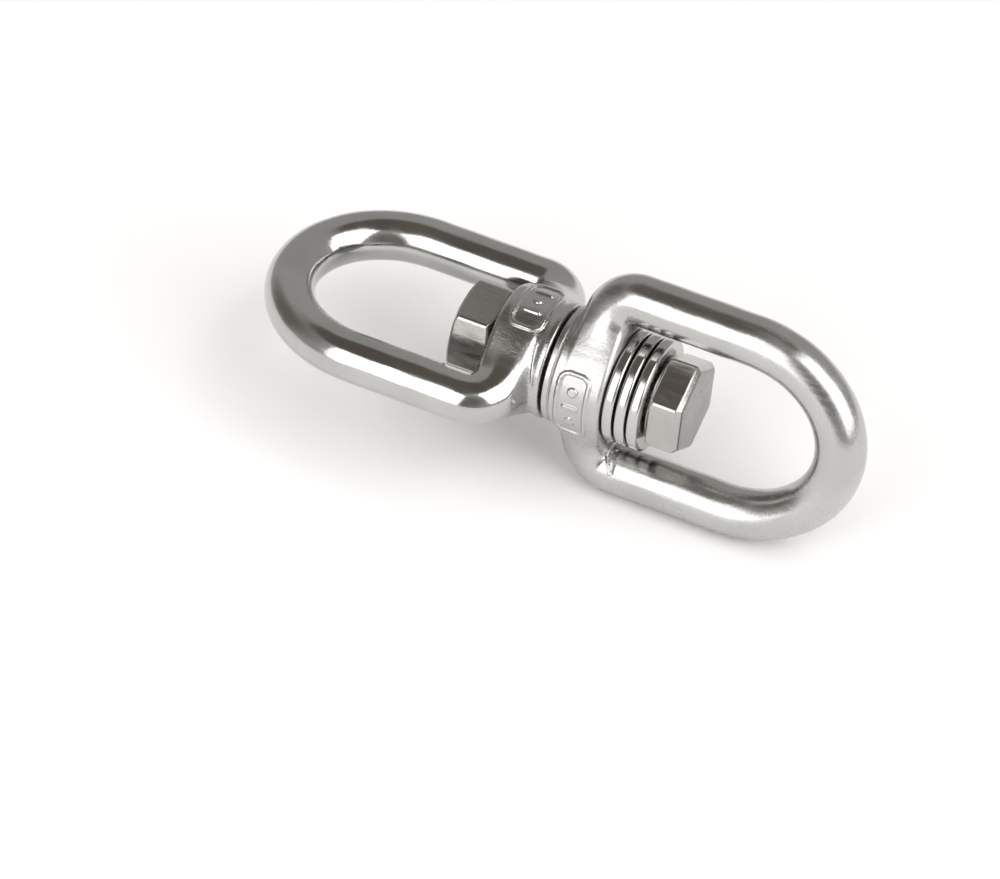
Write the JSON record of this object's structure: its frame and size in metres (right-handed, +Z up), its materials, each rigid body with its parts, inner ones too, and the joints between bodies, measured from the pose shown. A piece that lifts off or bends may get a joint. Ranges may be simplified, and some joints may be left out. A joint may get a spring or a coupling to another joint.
{
  "type": "anchor swivel",
  "caption": "Eye and eye swivel: two oval round-bar eyes with cylindrical hubs turn freely on a hexagon bolt with a nut and thrust washers.",
  "frame": {"origin": "on the swivel axis, half way between the two hubs, which is the centre of the whole object", "axes": "+X along the swivel axis from the chain eye to the anchor eye, +Y across the flat-lying chain eye, +Z up, square to the chain eye"},
  "size_m": [0.0924, 0.035, 0.0342],
  "materials": {
    "cast_steel": "polished investment casting, fine cast grain left on the hubs",
    "bolt_steel": "tumbled bright, faint forging marks",
    "nut_steel": "satin machined flats",
    "washer_steel": "tumbled bright, rounded rim"
  },
  "bodies": {
    "chain_eye": {"chain_eye": "cast_steel"},
    "bolt": {"bolt": "bolt_steel", "nut": "nut_steel"},
    "washer_1": {"washer_1": "washer_steel"},
    "anchor_eye": {"anchor_eye": "cast_steel"},
    "washer_2": {"washer_2": "washer_steel"},
    "washer_3": {"washer_3": "washer_steel"}
  },
  "joints": [
    {"name": "bolt_turn", "type": "hinge", "parent": "chain_eye", "child": "bolt", "pos_m": [0, 0, 0], "axis": [1, 0, 0], "continuous": true},
    {"name": "end_play", "type": "slide", "parent": "bolt", "child": "washer_1", "axis": [1, 0, 0], "range_m": [-0.0002, 0.0002]},
    {"name": "anchor_eye_swivel", "type": "hinge", "parent": "washer_1", "child": "anchor_eye", "pos_m": [0, 0, 0], "axis": [1, 0, 0], "continuous": true},
    {"name": "washer_2_turn", "type": "hinge", "parent": "bolt", "child": "washer_2", "pos_m": [0.0124, 0, 0], "axis": [1, 0, 0], "continuous": true},
    {"name": "washer_3_turn", "type": "hinge", "parent": "bolt", "child": "washer_3", "pos_m": [0.0143, 0, 0], "axis": [1, 0, 0], "continuous": true}
  ]
}
